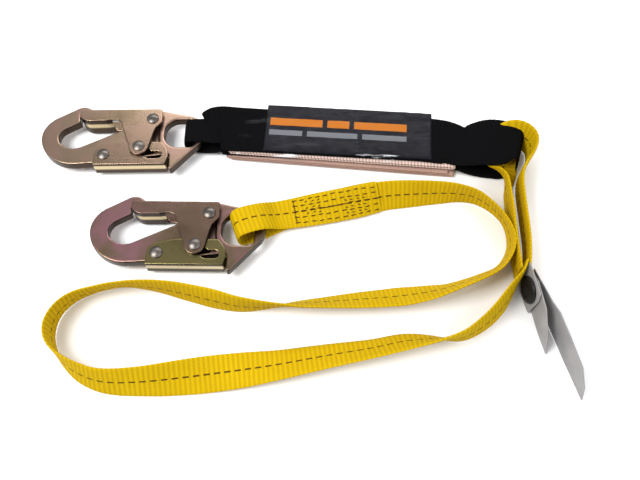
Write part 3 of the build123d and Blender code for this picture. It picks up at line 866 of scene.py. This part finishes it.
pack_ribbon("tear_upper_cloth", upper_points, TAN, "tear_webbing_upper", "tan_webbing", **TEAR_WEAVE)
pack_ribbon("backup_cloth", backup_points, BLACK, "backup_strap", "black_webbing")
pack_ribbon("hook_loop_cloth", hook_loop_points, BLACK, "hook_end_loop", "black_webbing", pitch=0.0024)
pack_ribbon("strap_loop_cloth", strap_loop_points, BLACK, "strap_end_loop", "black_webbing", pitch=0.0024)


# ---- cover and film -----------------------------------------------------------------------
COVER_ENDS = (-62.6, 73.6)
COVER_HALF = 22.7  # half of the width of its flat top
COVER_FLAT = 0.82  # share of each half, measured round the cover, that lies flat on top
COVER_TOP = 15.5
FILM_ENDS = (-84, 88)
FILM_HALF = 23.3
FILM_MIDDLE = 8.05
FILM_RISE = 7.9  # how far the film goes above and below its middle


def cover_point(x, t):
    """Point of the cover at x along the pack and t from -1, front, to 1, rear."""
    soft = noise.noise(Vector((x * 0.05, t * 1.7, 3.1)))
    fine = noise.noise(Vector((x * 0.16, t * 4.0, 8.7)))
    drop = (abs(t) - COVER_FLAT) / (1 - COVER_FLAT)
    side, edge = COVER_HALF + 0.05, COVER_TOP - 0.3
    if drop < 0:
        y = COVER_HALF * t / COVER_FLAT
        z = COVER_TOP + 0.42 * soft + 0.22 * fine - 0.5 * abs(t) ** 6
    elif t < 0:
        y = 0.25 * soft - side - 0.55 * drop
        z = edge - 0.5 * drop + 0.2 * fine
    else:
        y = 0.25 * soft + side + 0.35 * math.sin(drop * math.pi / 2)
        z = edge - 4.0 * drop + 0.3 * fine
    end = min(x - COVER_ENDS[0], COVER_ENDS[1] - x)
    if end < 1.2:
        z -= 0.5 * (1.2 - end)
    return on_pack(x, y + COVER_SHIFT, z)


def film_point(x, a):
    """Point of the film at x along the pack and angle a round it, widest low at the front."""
    c, s = math.cos(a), math.sin(a)
    wave = noise.noise(Vector((x * 0.07, c * 2, s * 2)))
    y = math.copysign(abs(c) ** 0.22, c) * (FILM_HALF + 0.25 * wave)
    y = y + 2.8 if y > 0 else y + 1.5
    z = FILM_MIDDLE + math.copysign(abs(s) ** 0.3, s) * (FILM_RISE + 0.12 * wave)
    if y < 0:
        y *= 1 + 0.3 * min(1, (16 - z) / 9)
    return on_pack(x, y, z)


cover_rows = [[cover_point(x, t) for t in steps(-1, 1, 56)] for x in steps(*COVER_ENDS, 120)]
cover = skin("pack_cover_sheet", cover_rows, COVER_THICK * MM, cover_material())
finish_piece(cover, "pack_cover")

once_round = steps(-math.pi / 2, math.pi * 1.5, 64)
film_rows = [[film_point(x, a) for a in once_round] for x in steps(*FILM_ENDS, 130)]
film = skin("film_sheet", film_rows, FILM_THICK * MM, film_material())
finish_piece(film, "shrink_sleeve")


# ---- tag ----------------------------------------------------------------------------------
LEAF_OUT = 0.3  # how far a leaf stands in front of its plane, mm


class Plane:
    """Nearly upright sheet plane along a run of the floor, leaning back."""

    def __init__(self, x, y, run_x, run_y, lean):
        lean = math.radians(lean)
        self.run = Vector((run_x, run_y, 0)).normalized()
        away = Vector((-self.run.y, self.run.x, 0))
        self.rise = away * math.sin(lean) + Vector((0, 0, math.cos(lean)))
        self.out = self.run.cross(self.rise)
        self.origin = laid(x, y, 0.3)

    def point(self, along, height, out):
        return self.origin + (self.run * along + self.rise * height + self.out * out) * MM


BACK = Plane(157, -32, 0.245, -0.97, 3)
MIDDLE = Plane(151.5, -36, 0.165, -0.986, 4)
FRONT = Plane(147.5, -33, 0.17, -0.985, 8)


def edges_at(outline, along):
    """Bottom and top of an outline at one distance along it."""
    for (start, low_a, high_a), (end, low_b, high_b) in zip(outline, outline[1:]):
        if along <= end:
            break
    part = (along - start) / (end - start)
    return low_a + part * (low_b - low_a), high_a + part * (high_b - high_a)


def leaf(name, plane, outline, sway, node):
    """Sheet between the bottom and top edges of an outline of distance, low and high."""
    rows = []
    for t in steps(0, 1, 60):
        along = outline[-1][0] * t
        row = []
        for h in steps(*edges_at(outline, along), 16):
            crumple = 0.35 * noise.noise(Vector((along * 0.05, h * 0.08, LEAF_OUT)))
            row.append(plane.point(along, h, LEAF_OUT + sway * math.sin(t * 2.6) + crumple))
        rows.append(row)
    piece = skin(name, rows, LEAF_THICK * MM, TAG)
    finish_piece(piece, node)


leaf(
    "tag_back_sheet",
    BACK,
    [(0, 2, 15), (29, 1, 21), (40, 0.5, 25.5), (80, 0.5, 23), (92, 0.5, 12), (96.5, 0.5, 1.5)],
    sway=0.9,
    node="tag_back_leaf",
)
leaf(
    "tag_middle_sheet",
    MIDDLE,
    [(0, 2, 20), (12, 1, 27), (33, 0.5, 26), (50, 0.5, 13), (57, 0.5, 1)],
    sway=0.8,
    node="tag_middle_leaf",
)
leaf(
    "tag_front_sheet",
    FRONT,
    [(0, 1, 27), (20, 0.5, 28), (26, 0.5, 27), (28.5, 1, 20)],
    sway=0.5,
    node="tag_front_leaf",
)

SNAP_AT = (16, 14)
SNAP_OUT = 0.9  # how far the snap's back stands in front of the leaf's plane, mm
SNAP_SIDES = 48
SNAP_PROFILE = (  # radius and height of its turned face, mm
    (3.6, 2.3),
    (4.2, 1.7),
    (5.0, 1.7),
    (5.6, 2.5),
    (8.6, 2.2),
    (10.0, 1.4),
    (10.4, 0.4),
    (10.4, 0),
)


def snap_cap():
    """Round snap on the front leaf, with a raised rim round its dished middle."""
    mesh = bmesh.new()
    rings = []
    for radius, out in SNAP_PROFILE:
        ring = []
        for q in range(SNAP_SIDES):
            a = 2 * math.pi * q / SNAP_SIDES
            along, height = SNAP_AT[0] + radius * math.cos(a), SNAP_AT[1] + radius * math.sin(a)
            ring.append(mesh.verts.new(FRONT.point(along, height, SNAP_OUT + out)))
        rings.append(ring)
    join_rings(mesh, rings)
    bmesh.ops.recalc_face_normals(mesh, faces=mesh.faces)
    return mesh_object("snap_cap", mesh, snap_material())


finish_piece(snap_cap(), "tag_snap_cap")


# ---- hooks --------------------------------------------------------------------------------
def softened(name, node, grain, turns, body, material):
    """Copy of a CAD plate with its edges worn round, by remeshing at a grain and smoothing."""
    data = node.data.copy()
    data.transform(node.matrix_world)
    data.materials.clear()
    piece = bpy.data.objects.new(name, data)
    bpy.context.collection.objects.link(piece)
    melt = piece.modifiers.new("even", "REMESH")
    melt.mode = "VOXEL"
    melt.voxel_size = grain
    wear = piece.modifiers.new("worn", "SMOOTH")
    wear.factor = 0.5
    wear.iterations = turns
    worn = bpy.data.meshes.new_from_object(piece.evaluated_get(bpy.context.evaluated_depsgraph_get()))
    piece.modifiers.clear()
    piece.data = worn
    worn.materials.clear()
    worn.materials.append(material)
    for face in worn.polygons:
        face.use_smooth = True
    finish_piece(piece, node.name, body)


def dress_hook(hook, plate, gate, lever):
    """Worn plates and bare steel small parts for one hook."""
    # node ending, material, body ending, slot, remesh grain in metres and smoothing turns
    plates = (
        ("_body", plate, "_frame", "zinc_forging", 0.0005, 16),
        ("_gate", gate, "_gate_group", "zinc_sheet", 0.0003, 9),
        ("_lock_lever", lever, "_lever_group", "zinc_sheet", 0.0003, 9),
    )
    for ending, material, group, slot, grain, turns in plates:
        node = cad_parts[hook + ending]
        softened(hook + ending + "_worn", node, grain, turns, hook + group, material)
    small_parts = (
        ("_gate_rivet", RIVET),
        ("_lever_rivet", RIVET),
        ("_lock_pin", RIVET),
        ("_gate_spring", SPRING),
        ("_lever_spring", SPRING),
    )
    for ending, material in small_parts:
        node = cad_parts[hook + ending]
        node.data.materials.clear()
        node.data.materials.append(material)


bpy.context.view_layer.update()
dress_hook("pack_hook", ZINC_ONE, SHEET_ONE, SHEET_ONE)
dress_hook("strap_hook", ZINC_TWO, GATE_TWO, LEVER_TWO)


# ---- floor --------------------------------------------------------------------------------
def white_floor():
    """Large matt white floor under the part."""
    bpy.ops.mesh.primitive_plane_add(size=6, location=(0, 0, 0))
    floor = bpy.context.object
    floor.name = "floor"
    m = Nodes("floor")
    m.set(Base_Color=m.mix(m.noise(3, 2), (0.86, 0.86, 0.86), (0.9, 0.9, 0.9)), Roughness=0.9)
    floor.data.materials.append(m.material)
    return floor


white_floor()
